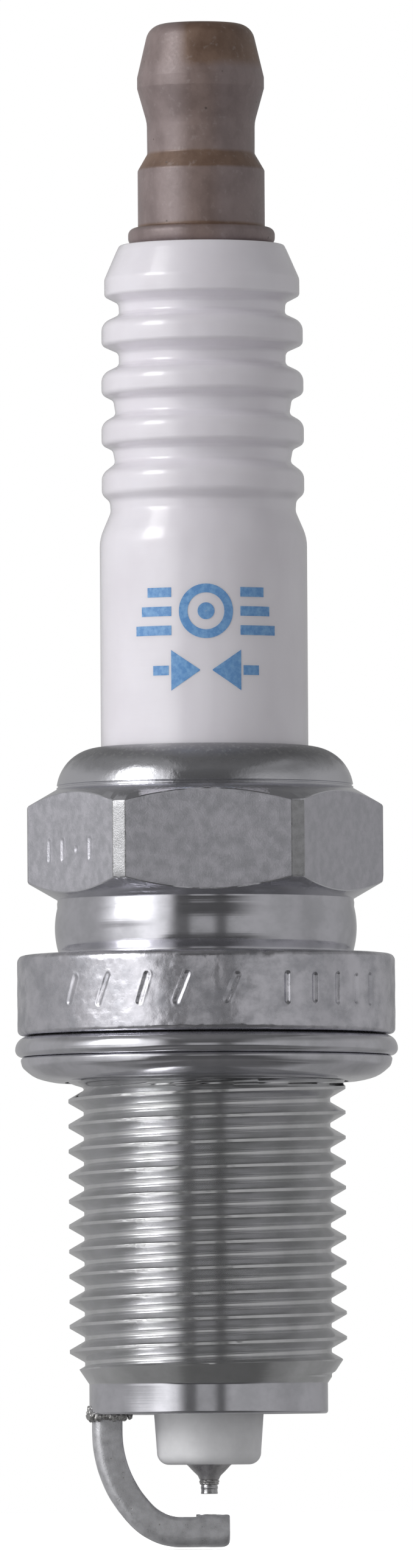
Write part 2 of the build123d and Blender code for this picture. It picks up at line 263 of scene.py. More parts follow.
class Finish(Nodes):
    """A node material built up from a Principled shader."""

    def __init__(self, name, colour, roughness, metallic=0.0, **sockets):
        self.mat = bpy.data.materials.new(name)
        self.mat.use_nodes = True
        super().__init__(self.mat.node_tree)
        self.shader = self.tree.nodes["Principled BSDF"]
        self.shader.inputs["Base Color"].default_value = (*colour, 1)
        self.shader.inputs["Roughness"].default_value = roughness
        self.shader.inputs["Metallic"].default_value = metallic
        for socket, value in sockets.items():
            self.shader.inputs[socket.replace("_", " ")].default_value = value
        self.place = self.tree.nodes.new("ShaderNodeTexCoord").outputs["Object"]
        self.height = None

    def sampled(self, kind, scale, shift):
        """A texture node that reads the piece's own coordinates, scaled and shifted."""
        where = self.node("ShaderNodeMapping")
        where.inputs["Scale"].default_value = scale
        where.inputs["Location"].default_value = shift
        made = self.node(kind)
        made.inputs["Scale"].default_value = 1.0
        self.link(self.place, where.inputs["Vector"])
        self.link(where.outputs["Vector"], made.inputs["Vector"])
        return made

    def cloud(self, size, detail=3.0, stretch=(1, 1, 1), sharpness=0.5, seed=0.0):
        """Noise with features about size mm across, stretched along each axis."""
        scale = [1 / (size * MM * s) for s in stretch]
        made = self.sampled("ShaderNodeTexNoise", scale, (seed, 1.7 * seed, 2.3 * seed))
        made.inputs["Detail"].default_value = detail
        made.inputs["Roughness"].default_value = sharpness
        return made.outputs["Fac"]

    def specks(self, spacing, reach, seed=0.0):
        """1 in small spots about reach mm across, spacing mm apart, and 0 between them."""
        scale = [1 / (spacing * MM)] * 3
        made = self.sampled("ShaderNodeTexVoronoi", scale, (seed, 1.3 * seed, 2.1 * seed))
        return self.span(made.outputs["Distance"], reach / spacing, 0.5 * reach / spacing, 0, 1)

    def blend(self, value, a, b):
        """Colour a where value is 0 and b where it is 1. a and b are outputs or colours."""
        made = self.node("ShaderNodeMix", data_type="RGBA")
        self.link(value, made.inputs["Factor"])
        for socket, colour in ((made.inputs[6], a), (made.inputs[7], b)):
            if isinstance(colour, tuple):
                socket.default_value = (*colour, 1)
            else:
                self.link(colour, socket)
        return made.outputs[2]

    def mottled(self, value, low, high, a, b):
        """Colour a where value is low, b where it is high, and a soft blend between."""
        return self.blend(self.span(value, low, high, 0, 1), a, b)

    def base(self, colour):
        self.link(colour, self.shader.inputs["Base Color"])

    def gloss(self, value):
        self.link(value, self.shader.inputs["Roughness"])

    def bump(self, height, depth):
        """Relief of about depth mm on top of any relief given before."""
        made = self.node("ShaderNodeBump")
        made.inputs["Distance"].default_value = depth * MM
        self.link(height, made.inputs["Height"])
        if self.height:
            self.link(self.height, made.inputs["Normal"])
        self.height = made.outputs["Normal"]
        self.link(self.height, self.shader.inputs["Normal"])

    def along(self, axis):
        """Distance along one axis in metres."""
        made = self.node("ShaderNodeSeparateXYZ")
        self.link(self.place, made.inputs[0])
        return made.outputs[axis]


def turned_steel(name, light, dark, gloss, streak_depth, streak=0.09, grain=0.0, metallic=1.0):
    """Plated, turned steel: fine rings left by the tool, soft patches of duller plating."""
    f = Finish(name, light, gloss[0], metallic)
    patches = f.cloud(1.6, 4, (1, 1, 0.8), 0.6, 3.1)
    f.base(f.mottled(patches, 0.35, 0.7, light, dark))
    streaks = f.cloud(streak, 2, (60, 60, 1), 0.5, 1.3)
    fine = f.cloud(0.22, 3, (1, 1, 1), 0.6, 7.7)
    f.gloss(f.span(f.sum(patches, fine, 0.5), 0.45, 1.05, *gloss))
    f.bump(streaks, streak_depth)
    if grain:
        f.bump(fine, grain)
    return f.mat


def crimped_lip():
    """Pressed-over lip: bright where the die polished it, rougher and grainy towards its top, where its
    colour is painted darker as painted shade.
    """
    f = Finish("crimped_lip", (0.62, 0.615, 0.63), 0.16, 0.93)
    grain = f.cloud(0.20, 3, (1, 1, 1), 0.62, 7.7)
    patches = f.cloud(1.2, 3, (1, 1, 0.6), 0.6, 3.1)
    # high rises towards the top of the lip: there it paints the colour darker (painted shade) and makes the
    # lip rougher and grainier
    high = f.span(f.sum(f.along("Z"), patches, 0.9 * MM), 15.75 * MM, 16.75 * MM, 0, 1)
    tint = f.blend(high, (0.63, 0.63, 0.665), (0.33, 0.33, 0.345))
    f.base(f.blend(f.times(high, f.span(grain, 0.5, 0.72, 0, 1)), tint, (0.47, 0.47, 0.475)))
    f.gloss(f.span(high, 0, 1, 0.12, 0.42))
    f.bump(grain, 0.006)
    f.bump(f.cloud(0.5, 3, (1, 1, 1), 0.6, 5.2), 0.010)
    return f.mat


def plain_metal(name, light, dark, gloss, size, depth, pits=None, metallic=1.0):
    """Drawn or cast metal with mottled colour and a fine grain.

    pits is (spacing, reach, colour, depth), or None for clean metal."""
    f = Finish(name, light, gloss[0], metallic)
    mottle = f.cloud(size, 5, (1, 1, 1), 0.62, 4.4)
    tint = f.mottled(mottle, 0.32, 0.68, dark, light)
    grain = f.cloud(size * 0.16, 3, (1, 1, 1), 0.6, 9.1)
    if pits:
        spacing, reach, colour, pit_depth = pits
        spots = f.specks(spacing, reach, 2.2)
        tint = f.blend(spots, tint, colour)
        f.bump(spots, -pit_depth)
    f.base(tint)
    f.gloss(f.span(f.sum(mottle, grain, 0.6), 0.5, 1.1, *gloss))
    f.bump(grain, depth)
    return f.mat


def terminal_plating():
    """Dull nickel gone brown: mottled, pitted, browner on the dome, flare and neck; paler on the dome's left
    (painted highlight) and browner down the middle along X (painted shade).
    """
    f = Finish("terminal_plating", (0.30, 0.25, 0.24), 0.5, 0.25, Coat_Weight=0.4, Coat_Roughness=0.42)
    mottle = f.cloud(1.1, 5, (1, 1, 1.3), 0.6, 4.4)
    clean = f.mottled(mottle, 0.3, 0.7, (0.203, 0.155, 0.152), (0.272, 0.213, 0.210))
    brown = f.mottled(mottle, 0.3, 0.7, (0.140, 0.082, 0.056), (0.205, 0.130, 0.094))
    x, z = f.along("X"), f.along("Z")
    # brown tarnish on the dome, thinned towards its left: partly tarnish, partly a painted highlight on the
    # lit side
    dome = f.times(f.span(z, 50.5 * MM, 51.2 * MM, 0, 1), f.span(x, -1.3 * MM, -0.3 * MM, 0.1, 1))
    # painted shade: a browner band down the middle along X
    front = f.times(f.span(x, -1.5 * MM, -0.3 * MM, 0, 0.4), f.span(x, 0.2 * MM, 1.2 * MM, 1, 0))
    pale = f.span(f.cloud(0.30, 4, (1, 1, 1), 0.6, 7.9), 0.56, 0.74, 0, 0.32)
    flare = f.times(f.span(z, 45.55 * MM, 45.75 * MM, 0, 1), f.span(z, 46.35 * MM, 46.6 * MM, 1, 0))
    neck = f.times(f.span(z, 42.62 * MM, 42.76 * MM, 0, 1), f.span(z, 42.78 * MM, 42.95 * MM, 1, 0))
    zones = f.sum(f.sum(f.sum(dome, flare), neck), front)
    tint = f.blend(zones, clean, brown)
    spots = f.specks(1.1, 0.08, 2.2)
    tint = f.blend(pale, tint, (0.36, 0.31, 0.30))
    f.base(f.blend(spots, tint, (0.12, 0.09, 0.08)))
    grain = f.cloud(0.16, 3, (1, 1, 1), 0.6, 9.1)
    f.gloss(f.span(f.sum(mottle, grain, 0.6), 0.5, 1.1, 0.36, 0.60))
    f.bump(spots, -0.006)
    f.bump(f.cloud(0.5, 3, (1, 1, 1), 0.55, 3.7), 0.018)
    f.bump(grain, 0.004)
    return f.mat


def glaze():
    """White glossy glaze over a slightly translucent body, faintly wavy, with one dark fleck."""
    f = Finish(
        "glaze", (0.81, 0.78, 0.81), 0.24, 0.0, IOR=1.52, Coat_Weight=0.8, Coat_Roughness=0.045,
        Subsurface_Weight=0.35, Subsurface_Scale=0.6 * MM, Subsurface_Radius=(1.0, 0.97, 0.95),
    )
    milk = f.cloud(3.0, 3, (1, 1, 1.5), 0.5, 0.6)
    tint = f.mottled(milk, 0.3, 0.7, (0.785, 0.755, 0.808), (0.835, 0.81, 0.864))
    fleck = f.node("ShaderNodeVectorMath", operation="DISTANCE")
    f.link(f.place, fleck.inputs[0])
    fleck.inputs[1].default_value = (-3.45 * MM, -3.05 * MM, 29.25 * MM)
    f.base(f.blend(f.span(fleck.outputs["Value"], 0.05 * MM, 0.11 * MM, 1, 0), tint, (0.18, 0.16, 0.16)))
    f.bump(f.cloud(0.9, 2, (2.5, 2.5, 0.55), 0.4, 8.8), 0.016)
    return f.mat


def bisque():
    """Unglazed alumina of the firing end: matt, with a faint grain."""
    f = Finish("bisque", (0.72, 0.72, 0.74), 0.62, 0.0, IOR=1.6)
    milk = f.cloud(1.4, 4, (1, 1, 1), 0.55, 6.1)
    tint = f.mottled(milk, 0.3, 0.7, (0.74, 0.74, 0.76), (0.84, 0.84, 0.86))
    f.base(f.blend(f.specks(1.3, 0.05, 1.9), tint, (0.25, 0.24, 0.24)))
    f.gloss(f.span(milk, 0.3, 0.7, 0.5, 0.7))
    f.bump(f.cloud(0.07, 3, (1, 1, 1), 0.6, 2.0), 0.004)
    return f.mat


def ink():
    """Blue fired-on print, slightly broken up at its thin places."""
    f = Finish("ink", (0.16, 0.36, 0.66), 0.3, 0.0, IOR=1.5)
    worn = f.cloud(0.28, 4, (1, 1, 1), 0.65, 1.1)
    f.base(f.mottled(worn, 0.4, 0.75, (0.13, 0.31, 0.62), (0.24, 0.46, 0.74)))
    f.gloss(f.span(worn, 0.3, 0.7, 0.2, 0.42))
    f.bump(worn, 0.004)
    return f.mat


def powder(name, light, dark, gloss, size, depth):
    """Pressed powder, glass or fired mix inside the plug."""
    f = Finish(name, light, gloss[0], 0.0)
    grain = f.cloud(size, 6, (1, 1, 1), 0.7, 5.5)
    f.base(f.mottled(grain, 0.35, 0.65, dark, light))
    f.gloss(f.span(grain, 0.3, 0.7, *gloss))
    f.bump(grain, depth)
    return f.mat


# light and dark colour, gloss range, then depths, sizes and how metallic it is
STEEL = turned_steel(
    "bright_plating", (0.65, 0.645, 0.69), (0.555, 0.555, 0.59), (0.08, 0.16), 0.0022, metallic=0.94
)
CRIMP = crimped_lip()
THREAD = turned_steel(
    "rolled_thread", (0.68, 0.68, 0.695), (0.60, 0.605, 0.61), (0.10, 0.19), 0.002, 0.07, metallic=0.92
)
RIM = turned_steel(
    "stamped_flange", (0.70, 0.69, 0.74), (0.48, 0.48, 0.52), (0.14, 0.34), 0.0015, 0.12, 0.007, 0.95
)
FLAT = plain_metal(
    "forged_flat", (0.625, 0.615, 0.665), (0.51, 0.51, 0.55), (0.34, 0.50), 0.55, 0.018, None, 0.78
)
# the hexagon's turned corners: forged steel, rougher, and painted darker than the flats as painted shade
# that dims their highlight
SHADED_CORNER = plain_metal(
    "forged_corner_shaded", (0.46, 0.46, 0.475), (0.34, 0.34, 0.35), (0.24, 0.40), 0.4, 0.016, None, 0.9
)
POST = terminal_plating()
SHEET = turned_steel(
    "gasket_sheet", (0.67, 0.665, 0.71), (0.56, 0.56, 0.59), (0.08, 0.17), 0.0015, 0.06, metallic=0.92
)
NICKEL = plain_metal(
    "strap_nickel", (0.59, 0.59, 0.615), (0.47, 0.47, 0.49), (0.26, 0.42), 0.45, 0.012,
    (0.8, 0.05, (0.36, 0.35, 0.35), 0.005), 0.62,
)
WIRE = plain_metal(
    "electrode_nickel", (0.56, 0.55, 0.56), (0.42, 0.41, 0.42), (0.24, 0.42), 0.3, 0.008, None, 0.8
)
NOBLE = plain_metal("noble_metal", (0.60, 0.60, 0.61), (0.42, 0.42, 0.43), (0.18, 0.34), 0.2, 0.004)
FLASH = plain_metal(
    "weld_flash", (0.60, 0.595, 0.59), (0.32, 0.315, 0.31), (0.20, 0.42), 0.3, 0.012, None, 0.85
)
GLAZE = glaze()
BISQUE = bisque()
INK = ink()
PACKING = plain_metal("packing_wire", (0.42, 0.42, 0.43), (0.30, 0.30, 0.30), (0.3, 0.5), 0.4, 0.006)
TALC = powder("talc", (0.82, 0.81, 0.76), (0.70, 0.69, 0.64), (0.75, 0.92), 0.3, 0.03)
SEAL_GLASS = powder("seal_glass", (0.36, 0.22, 0.16), (0.20, 0.13, 0.10), (0.25, 0.5), 0.25, 0.02)
RESISTOR_MIX = powder("resistor_mix", (0.10, 0.095, 0.09), (0.03, 0.03, 0.03), (0.6, 0.85), 0.2, 0.02)
COPPER = plain_metal("copper", (0.80, 0.42, 0.27), (0.60, 0.28, 0.16), (0.25, 0.4), 0.6, 0.004)

# pieces inside the plug keep their CAD meshes
for finish, cad_nodes in (
    (PACKING, ("upper_packing_ring", "lower_packing_ring", "seat_packing")),
    (TALC, ("talc_filling",)),
    (SEAL_GLASS, ("upper_glass_seal", "lower_glass_seal")),
    (RESISTOR_MIX, ("resistor",)),
    (COPPER, ("copper_core",)),
):
    for cad_node in cad_nodes:
        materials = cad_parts[cad_node].data.materials
        materials.clear()
        materials.append(finish)


# ------------------------------------------------ terminal stud

post_top, post_end = 53.0, 10.40
post = Shape()
post.lathe(
    solid(
        [
            # head and waist
            (1.0, post_top, 0), (2.55, 52.97, 0.90), (3.175, 50.30, 0.30), (3.175, 49.75, 0.22),
            (2.70, 48.05, 1.6), (2.69, 46.46, 0.20),
            # collar and ring
            (3.175, 45.62, 0.22), (3.175, 42.76, 0.07), (3.67, 42.72, 0.36), (3.67, 42.02, 0.40),
            (3.42, 41.86, 0.04),
            # stem
            (1.80, 41.86, 0.05), (1.60, 41.60, 0.05), (1.60, 13.80, 0.05), (1.80, 13.60, 0.05),
            (1.80, 10.70, 0.05), (1.50, post_end, 0.05), (0.5, post_end, 0),
        ]
    ),
    160,
)
post.make("terminal_post", [POST], "plug", ["terminal_stud"])

# ------------------------------------------------ insulator

barrel_r = 5.18
nose_end = -19.09
glaze_end = -6.0
body_outline = rounded(
    [
        # collar
        (2.25, 41.88, 0), (4.12, 41.88, 0.14), (4.27, 41.58, 0.30), (4.88, 40.18, 0.50),
        # five grooves with four ribs between them
        (4.88, 39.34, 0.20), (4.18, 38.98, 0.30), (4.14, 38.40, 0.26), (5.035, 37.97, 0.62),
        (5.035, 36.88, 0.28), (4.18, 36.50, 0.32), (4.16, 35.86, 0.32), (5.05, 35.42, 0.62),
        (5.05, 34.42, 0.36), (4.46, 34.12, 0.30), (4.34, 33.38, 0.28), (5.06, 32.95, 0.60),
        (5.06, 31.90, 0.32), (4.50, 31.62, 0.30), (4.38, 30.96, 0.30), (5.06, 30.42, 0.62),
        (5.06, 29.42, 0.45), (4.66, 29.05, 0.40), (4.62, 28.52, 0.60), (barrel_r, 27.20, 2.2),
        # shoulder and trunk, inside the shell
        (barrel_r, 12.0, 0.3), (6.15, 11.0, 0.3), (6.15, 4.5, 0.3), (4.55, 3.2, 0.3), (4.55, -4.10, 0.1),
        # seat and nose
        (3.60, -4.65, 0.1), (3.60, -5.80, 0.3), (3.45, -6.60, 0.3), (2.60, -18.40, 0),
        (2.575, nose_end, 0.60), (1.60, nose_end, 0),
    ],
    7.5,
)
bore_outline = [(1.22, nose_end), (1.22, -1.73), (2.05, -0.90), (2.05, 41.65)]
longest_run = 1.5
insulator_sides = 224
insulator = Shape()
glazed = spaced([p for p in body_outline if p[1] > glaze_end], longest_run)
bare = spaced([glazed[-1]] + [p for p in body_outline if p[1] <= glaze_end], longest_run)
insulator.lathe(glazed, insulator_sides, 0)
insulator.lathe(bare + bore_outline + [glazed[0]], insulator_sides, 1)
insulator.make("insulator_body", [GLAZE, BISQUE], "plug", ["insulator"], 40)

# ------------------------------------------------ print on the barrel

ink_lift, ink_sink = 0.012, 0.02
bar_half = 0.24
wide_steps = 8


def wrap_strip(shape, ribs, closed=False):
    """A thin print: a strip spanned by flat (x, z, x, z) ribs, bent round the front of the barrel."""
    points = []
    for radius in (barrel_r + ink_lift, barrel_r - ink_sink):
        for ax, az, bx, bz in ribs:
            for x, z in ((ax, az), (bx, bz)):
                a = x / barrel_r - math.pi / 2
                points.append((radius * math.cos(a), radius * math.sin(a), z))
    count = len(ribs)
    half = 2 * count
    faces = []
    for k in range(count if closed else count - 1):
        i, j = 2 * k, 2 * ((k + 1) % count)
        faces += [[i, i + 1, j + 1, j], [half + i, half + j, half + j + 1, half + i + 1]]
        faces += [[i, j, half + j, half + i], [i + 1, half + i + 1, half + j + 1, j + 1]]
    if not closed:
        last = half - 2
        faces += [[0, half, half + 1, 1], [last, last + 1, half + last + 1, half + last]]
    shape.add(points, faces)


def wrap_bar(shape, end_a, end_b, middle_z):
    """A level bar between two ends given in either order."""
    left, right = sorted((end_a, end_b))
    ribs = []
    for k in range(wide_steps + 1):
        x = left + (right - left) * k / wide_steps
        ribs.append((x, middle_z - bar_half, x, middle_z + bar_half))
    wrap_strip(shape, ribs)


# a ring with a dot between two stacks of bars, and two arrows that face each other below
mark = Shape()
ring_z, arrow_z = 23.29, 20.35
for side in (-1, 1):
    for k in range(3):
        wrap_bar(mark, side * 1.75, side * (3.75 - 0.35 * k), 22.34 + 0.95 * k)
circle = [(math.cos(FULL * k / 48), math.sin(FULL * k / 48)) for k in range(48)]
for outer, inner in ((1.36, 0.92), (0.42, 0.02)):
    ribs = [(outer * u, ring_z + outer * v, inner * u, ring_z + inner * v) for u, v in circle]
    wrap_strip(mark, ribs, True)
for side in (-1, 1):
    ribs = []
    for k in range(wide_steps + 1):
        t = k / wide_steps
        x = side * (0.32 + 1.45 * t)
        half = 0.98 * t + 0.03
        ribs.append((x, arrow_z - half, x, arrow_z + half))
    wrap_strip(mark, ribs)
    wrap_bar(mark, side * 1.9, side * 2.75, arrow_z)
mark.make("barrel_mark", [INK], "plug", [])

# ------------------------------------------------ metal shell

PLATED, FORGED, STAMPED, ROLLED, EDGE, LIP = range(6)  # the shell's finishes
pitch = 1.25
hex_half = 7.86
hex_corner = 8.885
collar_r = 7.40
lip_r = 5.24
bore_r = 6.22
relief_r = 6.05
pilot_r = 5.95
shell_end = -16.57
hex_low, hex_top = 9.12, 14.65
chamfer_slope = math.tan(math.radians(30))
flange_low, flange_top, flange_r = 2.36, 6.35, 9.43
strokes = [  # degrees round the rim, lean, half length, depth
    (-136, 20, 0.62, 0.036), (-124, 22, 0.74, 0.042), (-110.5, 18, 0.70, 0.048), (-98.5, 22, 0.72, 0.044),
    (-83.5, 24, 0.66, 0.044), (-66, 0, 0.66, 0.095), (-56.4, 0, 0.60, 0.085), (-47.4, 0, 0.66, 0.085),
    (-39.0, 0, 0.60, 0.085), (-31.5, 0, 0.66, 0.085),
]
stroke_z, stroke_half = 4.45, 0.14
nick_at, nick_size, nick_depth = -73.0, 0.22, 0.16
ticks = [(-2.05, 0.44), (-0.75, 0.44), (0.60, 0.02), (1.90, 0.44)]  # place along the flat, half length
tick_z, tick_half, tick_depth = 11.5, 0.13, 0.06
tick_face = -150  # the flat with the ticks faces this way


def pressed(along, height, lean, long, half, deep):
    """Depth of one round-ended stamped stroke, with the small burr thrown up round it."""
    tilt = math.radians(lean)
    across = along * math.cos(tilt) - height * math.sin(tilt)
    length = along * math.sin(tilt) + height * math.cos(tilt)
    gap = math.hypot(across, max(0.0, abs(length) - long)) - half
    depth = deep * (1 - min(1.0, max(0.0, (gap + 0.09) / 0.12)))
    return depth - 0.2 * deep * math.exp(-((gap - 0.07) / 0.05) ** 2)


# angles: coarse all round with extra ones at the hexagon's edges, fine where strokes are stamped
facet = math.degrees(math.acos(hex_half / hex_corner))
coarse_degrees = set(np.round(np.arange(-180, 180, 1.25), 4))
for face in range(6):
    for side in (-1, 1):
        for nudge in (-0.35, 0.0, 0.35):
            edge = -90 + 60 * face + side * facet + nudge
            coarse_degrees.add(round((edge + 180) % 360 - 180, 4))
fine_degrees = set(coarse_degrees) | set(np.round(np.arange(-168, -26, 0.3), 4))
fine = sorted(fine_degrees)
fine_ids = list(range(len(fine)))
coarse_ids = [i for i, d in enumerate(fine) if d in coarse_degrees]
hex_ids = [i for i, d in enumerate(fine) if d in coarse_degrees or d < -132]


def ring(ids, reach):
    """Points at the angles in ids; reach(degrees) gives (r, z)."""
    row = []
    for i in ids:
        r, z = reach(fine[i])
        a = math.radians(fine[i])
        row.append((r * math.cos(a), r * math.sin(a), z))
    return (ids, row)


def even(r, z):
    return ring(coarse_ids, lambda _: (r, z))


def off_flat(degrees):
    """Angle from the middle of the nearest flat."""
    return (degrees + 90 + 30) % 60 - 30


def hex_reach(degrees):
    """Radius of the hexagon's side at this angle: a flat, or the turned corner that cuts it."""
    return min(hex_half / math.cos(math.radians(off_flat(degrees))), hex_corner)


def hex_row(level, inset=0.0):
    """level 1 is the top chamfer's edge, 0 the bottom one's; inset pulls the edge in."""

    def reach(degrees):
        r = hex_reach(degrees)
        top = hex_top - (r - collar_r) * chamfer_slope
        low = hex_low + (r - collar_r) * chamfer_slope
        z = low + (top - low) * level
        a = math.radians(degrees)
        if abs(level - 0.5) > 0.45:
            r -= 0.05 * max(0.0, rough(r * math.cos(a), r * math.sin(a), z, 0.55, 2.2))
        if abs(degrees - tick_face) < 20:
            along = hex_half * math.tan(math.radians(degrees - tick_face))
            for centre, long in ticks:
                if abs(along - centre) < 0.5 and abs(z - tick_z) < 1.0:
                    r -= pressed(along - centre, z - tick_z, 0, long, tick_half, tick_depth)
        return r - inset, z

    return ring(coarse_ids if abs(level - 0.42) > 0.2 else hex_ids, reach)


def cone_row(share, upper):
    """Rows on the chamfer cones, from the collar (0) to the hexagon's edge (1)."""

    def reach(degrees):
        r = collar_r + (hex_reach(degrees) - collar_r) * share
        drop = (r - collar_r) * chamfer_slope
        return r, hex_top - drop if upper else hex_low + drop

    return ring(coarse_ids, reach)


shell = Shape()

# crimped lip and dome
crimp = rounded([(lip_r, 16.10, 0), (lip_r, 16.72, 0.10), (5.44, 16.72, 0)])
crimp += [
    (5.22 + 2.2 * math.sin(math.radians(a)), 14.55 + 2.18 * math.cos(math.radians(a)))
    for a in np.arange(9, 83, 4.5)
]
crimp += [(collar_r, 14.85), (7.34, 14.81), (7.33, 14.77), (7.405, 14.73), (7.415, 14.69)]
crimp += [(collar_r, hex_top)]
shell.rings([even(r, z) for r, z in crimp], LIP)

# hexagon
hex_levels = [*np.linspace(0.975, 0.65, 6), *np.linspace(0.61, 0.23, 36), *np.linspace(0.20, 0.025, 4)]
top_edge, low_edge = hex_row(0.992, 0.012), hex_row(0.008, 0.012)
shell.rings([cone_row(share, True) for share in (0, 0.5, 0.96)] + [top_edge], LIP)
shell.rings([top_edge] + [hex_row(level) for level in hex_levels] + [low_edge], FORGED)
shell.rings([low_edge] + [cone_row(share, False) for share in (0.96, 0.5, 0)], LIP)

# buckled waist, then the flange's top edge
waist = [(collar_r, hex_low), (collar_r, 9.02), (7.42, 8.95)]
waist += [(7.37 + 0.165 * math.sin(math.pi * t) ** 0.8, 8.85 - 2.3 * t) for t in np.linspace(0.06, 0.97, 14)]
waist += rounded([(7.37, 6.50, 0), (7.37, flange_top, 0.12), (8.4, flange_top, 0)])
shell.rings([even(r, z) for r, z in waist], PLATED)


def rim_stamp(degrees, z):
    """Depth of the stamped strokes on the flange's rim."""
    depth = 0.0
    for centre, lean, long, deep in strokes:
        along = math.radians(degrees - centre) * flange_r
        if abs(along) < 1.2:
            depth += pressed(along, z - stroke_z, lean, long, stroke_half, deep)
    return depth


def rim_reach(z, r):
    """The rim at height z: dented, chipped at its edges, stamped, with one nick in the top edge."""

    def reach(degrees):
        a = math.radians(degrees)
        x, y = math.cos(a) * r, math.sin(a) * r
        dent = 0.014 * rough(x, y, z, 1.1, 0.4) + 0.010 * rough(x, y, z, 0.4, 1.4)
        chips = 0.05 * max(0.0, rough(x, y, z, 0.5, 2.4) - 0.1) if z > 6.0 or z < 2.6 else 0.0
        from_nick = math.hypot(math.radians(degrees - nick_at) * r, z - flange_top) / nick_size
        nick = nick_depth * math.exp(-(from_nick**2))
        return r - rim_stamp(degrees, z) + dent - nick - chips, z

    return reach


rim = rounded([(9.0, flange_top, 0), (flange_r, flange_top, 0.34), (flange_r, 5.9, 0)], 15)
rim += [(flange_r, z) for z in np.linspace(5.85, 2.75, 56)]
rim += rounded([(flange_r, 2.72, 0), (flange_r, flange_low, 0.26), (9.0, flange_low, 0)], 15)
rim_rows = [ring(fine_ids, rim_reach(z, r)) for r, z in rim]
shell.rings([even(8.4, flange_top)] + rim_rows + [even(8.6, flange_low)], STAMPED)

# thread: a grid that follows the helix, clipped by the relief above and the lead-in below
thread_top, thread_low = 0.9, -15.05
lead_in_z = -13.6
relief_z, relief_slope = 0.88, 8.7
run_out_z, run_out_long = -0.32, 0.42
major, minor = 6.92, 6.153
shell.rings(
    [even(8.6, flange_low), even(6.10, flange_low), even(relief_r, 2.30), even(relief_r, thread_top)], PLATED
)


def envelope(z):
    """The largest radius the thread may have at this height."""
    if z > lead_in_z:
        return min(major, relief_r + max(0.0, relief_z - z) * relief_slope)
    return major - (lead_in_z - z) / (lead_in_z - thread_low) * (major - pilot_r)


def run_out(z):
    """0 in the full thread, 1 where the groove has died out under the gasket."""
    share = min(1.0, max(0.0, (z - run_out_z) / run_out_long))
    return share * share * (3 - 2 * share)


def thread_outline():
    """(drop below the crest's centre, radius) over one pitch."""
    flank = (major - minor) * math.tan(math.radians(30))
    crest = pitch / 16
    out = [(0.0, major), (crest * 0.55, major - 0.003)]
    down = rounded(
        [(crest * 0.8, major, 0), (crest, major, 0.04), (crest + flank, minor, 0.10), (pitch / 2, minor, 0)],
        16,
    )
    out += spaced(down[1:], 0.16)
    return out + [(pitch - a, b) for a, b in reversed(out[1:-1])]


turn_outline = thread_outline()
turn_count = math.ceil((thread_top - thread_low) / pitch) + 2
degrees_list = [fine[i] for i in coarse_ids] + [fine[coarse_ids[0]] + 360]
first_crest = -0.30 + pitch * (1 + math.ceil((thread_top + 0.3) / pitch))
grid = []
for turn in range(turn_count + 1):
    for drop, radius in turn_outline:
        row = []
        for degrees in degrees_list:
            z = first_crest + pitch * (degrees / 360) - turn * pitch - drop
            z_clear = min(thread_top, max(thread_low, z))
            a = math.radians(degrees)
            wear = 0.0
            if radius > major - 0.05:  # the crest is worn unevenly along the helix
                travel = (turn * 360 - degrees) * 0.12
                wear = 0.012 * max(0.0, noise.noise(Vector((travel * 2.3, 0.5, 1.5))))
                wear += 0.018 * abs(noise.noise(Vector((travel * 9.1, 4.5, 2.5))))
            r = min(radius - wear + (major - radius + wear) * run_out(z_clear), envelope(z_clear))
            row.append((r * math.cos(a), r * math.sin(a), z_clear))
        grid.append(row)
span = len(degrees_list)
thread_points = [p for row in grid for p in row]
thread_faces = []
for i in range(len(grid) - 1):
    for j in range(span - 1):
        a = i * span + j
        corners = [a, a + 1, a + span + 1, a + span]
        heights = [thread_points[k][2] for k in corners]
        if min(heights) < thread_top and max(heights) > thread_low:
            thread_faces.append(corners)
shell.add(thread_points, thread_faces, ROLLED)

# pilot, end face and the stepped bore back up to the lip
end_rows = rounded(
    [
        (pilot_r, thread_low, 0), (pilot_r, thread_low - 0.12, 0.05), (pilot_r, shell_end, 0.14),
        (4.40, shell_end, 0.05), (4.20, shell_end + 0.20, 0),
    ]
)
curl, curl_z = bore_r - lip_r, 15.15
bore_rows = [
    end_rows[-1], (4.20, -6.4), (3.75, -6.0), (3.75, -5.03), (4.66, -4.5), (4.66, 2.9), (bore_r, 4.3),
]
bore_rows += [
    (lip_r + curl * math.cos(math.radians(a)), curl_z + curl * math.sin(math.radians(a)))
    for a in (0, 20, 40, 60, 80)
]
shell.rings([even(r, z) for r, z in end_rows], PLATED)
shell.rings([even(r, z) for r, z in bore_rows + [crimp[0]]], PLATED)
shell_piece = shell.make(
    "shell_body", [STEEL, FLAT, RIM, THREAD, SHADED_CORNER, CRIMP], "plug", ["metal_shell"], 34
)
# faces on the hexagon's turned corners take the darker corner finish (painted shade)
for polygon in shell_piece.data.polygons:
    centre = polygon.center
    off = abs(off_flat(math.degrees(math.atan2(centre.y, centre.x))))
    if polygon.material_index == FORGED and off > facet - 0.2:
        polygon.material_index = EDGE

# ------------------------------------------------ gasket

sheet_half = 0.125
strip = rounded(
    [
        # two upper turns, pressed flat
        (6.57, 2.205, 0), (9.44, 2.205, 0.56), (9.44, 1.405, 0.23), (6.83, 1.405, 0.13), (6.60, 1.275, 0.10),
        # lower turn, dished down to the sealing face
        (6.83, 1.145, 0.13), (9.17, 1.145, 0.06), (9.10, 0.84, 0.3), (8.55, 0.36, 1.6), (7.60, 0.125, 2.5),
        (7.08, 0.125, 0),
    ],
    10,
)


def thicken(line, half):
    """Closed outline of a strip of constant thickness along line."""
    left, right = [], []
    for i, (x, z) in enumerate(line):
        before = Vector(line[max(0, i - 1)])
        after = Vector(line[min(len(line) - 1, i + 1)])
        along = (after - before).normalized()
        left.append((x - along.y * half, z + along.x * half))
        right.append((x + along.y * half, z - along.x * half))
    return left + right[::-1]


